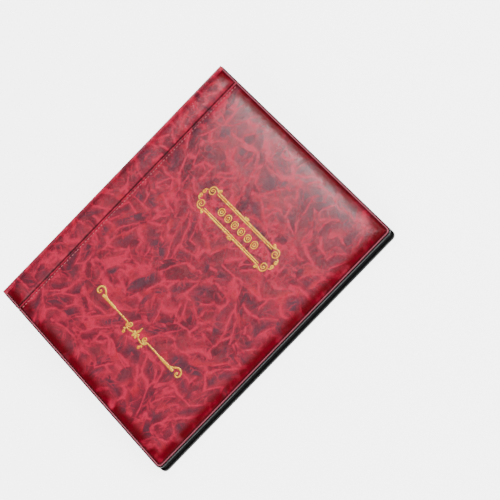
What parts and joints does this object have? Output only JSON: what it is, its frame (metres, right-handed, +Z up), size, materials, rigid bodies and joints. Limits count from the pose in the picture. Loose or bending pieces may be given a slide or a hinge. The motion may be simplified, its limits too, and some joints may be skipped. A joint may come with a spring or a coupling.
{
  "type": "coin album",
  "caption": "Padded ring-bound coin album with a marbled red cover, stitched spine strip, gold scroll stamping and pocket pages on a lever-opened ring mechanism.",
  "frame": {"origin": "centre of the closed album's box, on the surface it lies on", "axes": "+X from the spine to the fore edge, +Y towards the head of the album, +Z up, away from the back cover"},
  "size_m": [0.23, 0.27, 0.036],
  "materials": {
    "red_vinyl": "semi-gloss marbled imitation leather, raspberry with darker leaf-like patches",
    "black_vinyl": "satin fine-grained imitation leather",
    "lining": "matt lining paper",
    "board": "raw grey board",
    "foam": "soft open foam padding",
    "steel": "nickel-plated sheet, fine brushed lines",
    "nickel": "bright nickel plate",
    "gold_foil": "hot-stamped gold foil",
    "page_black": "matt black backing sheet",
    "clear_film": "clear glossy pocket film"
  },
  "bodies": {
    "back_cover": {"back_skin": "black_vinyl", "back_board": "board", "back_lining": "lining"},
    "spine": {"spine_skin": "black_vinyl", "spine_board": "board", "spine_lining": "lining", "spine_bottom_web": "black_vinyl", "spine_top_web": "red_vinyl", "ring_rail": "steel", "rail_rivets": "nickel", "lever_pins": "nickel"},
    "rings_upper": {"blade_upper": "steel", "half_rings_upper": "nickel"},
    "rings_lower": {"blade_lower": "steel", "half_rings_lower": "nickel"},
    "lever_head_body": {"lever_head": "steel"},
    "lever_tail_body": {"lever_tail": "steel"},
    "strip": {"strip_skin": "red_vinyl", "strip_foam": "foam", "strip_board": "board", "strip_lining": "lining", "front_seam": "red_vinyl"},
    "front_panel": {"front_skin": "red_vinyl", "front_foam": "foam", "front_board": "board", "front_lining": "lining", "gold_frame": "gold_foil", "gold_ornament": "gold_foil", "gold_coin_row": "gold_foil"},
    "page_1": {"page_1_sheet": "page_black", "page_1_pockets": "clear_film"},
    "page_2": {"page_2_sheet": "page_black", "page_2_pockets": "clear_film"},
    "page_3": {"page_3_sheet": "page_black", "page_3_pockets": "clear_film"},
    "page_4": {"page_4_sheet": "page_black", "page_4_pockets": "clear_film"},
    "page_5": {"page_5_sheet": "page_black", "page_5_pockets": "clear_film"},
    "page_6": {"page_6_sheet": "page_black", "page_6_pockets": "clear_film"},
    "page_7": {"page_7_sheet": "page_black", "page_7_pockets": "clear_film"},
    "page_8": {"page_8_sheet": "page_black", "page_8_pockets": "clear_film"}
  },
  "joints": [
    {"name": "spine_hinge", "type": "hinge", "parent": "back_cover", "child": "spine", "pos_m": [-0.1135, 0, 0.0015], "axis": [0, -1, 0], "range_deg": [0, 90]},
    {"name": "strip_hinge", "type": "hinge", "parent": "spine", "child": "strip", "pos_m": [-0.1135, 0, 0.0345], "axis": [0, -1, 0], "range_deg": [0, 90]},
    {"name": "panel_hinge", "type": "hinge", "parent": "strip", "child": "front_panel", "pos_m": [-0.09219, 0, 0.03155], "axis": [0, 1, 0], "range_deg": [-120, 0]},
    {"name": "rings_upper_open", "type": "hinge", "parent": "spine", "child": "rings_upper", "pos_m": [-0.1098, 0, 0.0218], "axis": [0, -1, 0], "range_deg": [0, 7.5]},
    {"name": "rings_lower_open", "type": "hinge", "parent": "spine", "child": "rings_lower", "pos_m": [-0.1098, 0, 0.0106], "axis": [0, 1, 0], "range_deg": [0, 7.5]},
    {"name": "lever_head_turn", "type": "hinge", "parent": "spine", "child": "lever_head_body", "pos_m": [-0.11, 0.1254, 0.0162], "axis": [0, 0, 1], "range_deg": [0, 28]},
    {"name": "lever_tail_turn", "type": "hinge", "parent": "spine", "child": "lever_tail_body", "pos_m": [-0.11, -0.1254, 0.0162], "axis": [0, 0, -1], "range_deg": [0, 28]},
    {"name": "page_1_turn", "type": "hinge", "parent": "spine", "child": "page_1", "pos_m": [-0.0977, 0, 0.0162], "axis": [0, -1, 0], "range_deg": [-90, 0]},
    {"name": "page_2_turn", "type": "hinge", "parent": "spine", "child": "page_2", "pos_m": [-0.0977, 0, 0.0162], "axis": [0, -1, 0], "range_deg": [-90, 0]},
    {"name": "page_3_turn", "type": "hinge", "parent": "spine", "child": "page_3", "pos_m": [-0.0977, 0, 0.0162], "axis": [0, -1, 0], "range_deg": [-90, 0]},
    {"name": "page_4_turn", "type": "hinge", "parent": "spine", "child": "page_4", "pos_m": [-0.0977, 0, 0.0162], "axis": [0, -1, 0], "range_deg": [-90, 0]},
    {"name": "page_5_turn", "type": "hinge", "parent": "spine", "child": "page_5", "pos_m": [-0.0977, 0, 0.0162], "axis": [0, -1, 0], "range_deg": [0, 90]},
    {"name": "page_6_turn", "type": "hinge", "parent": "spine", "child": "page_6", "pos_m": [-0.0977, 0, 0.0162], "axis": [0, -1, 0], "range_deg": [0, 90]},
    {"name": "page_7_turn", "type": "hinge", "parent": "spine", "child": "page_7", "pos_m": [-0.0977, 0, 0.0162], "axis": [0, -1, 0], "range_deg": [0, 90]},
    {"name": "page_8_turn", "type": "hinge", "parent": "spine", "child": "page_8", "pos_m": [-0.0977, 0, 0.0162], "axis": [0, -1, 0], "range_deg": [0, 90]}
  ],
  "couplings": [
    {"joint": "strip_hinge", "follows": "spine_hinge", "ratio": 1},
    {"joint": "rings_lower_open", "follows": "rings_upper_open", "ratio": 1},
    {"joint": "lever_head_turn", "follows": "rings_upper_open", "ratio": 3.7333},
    {"joint": "lever_tail_turn", "follows": "rings_upper_open", "ratio": 3.7333},
    {"joint": "page_1_turn", "follows": "spine_hinge", "ratio": -0.99},
    {"joint": "page_2_turn", "follows": "spine_hinge", "ratio": -0.965},
    {"joint": "page_3_turn", "follows": "spine_hinge", "ratio": -0.94},
    {"joint": "page_4_turn", "follows": "spine_hinge", "ratio": -0.915},
    {"joint": "page_5_turn", "follows": "spine_hinge", "ratio": 0.88},
    {"joint": "page_6_turn", "follows": "spine_hinge", "ratio": 0.91},
    {"joint": "page_7_turn", "follows": "spine_hinge", "ratio": 0.94},
    {"joint": "page_8_turn", "follows": "spine_hinge", "ratio": 0.97}
  ]
}
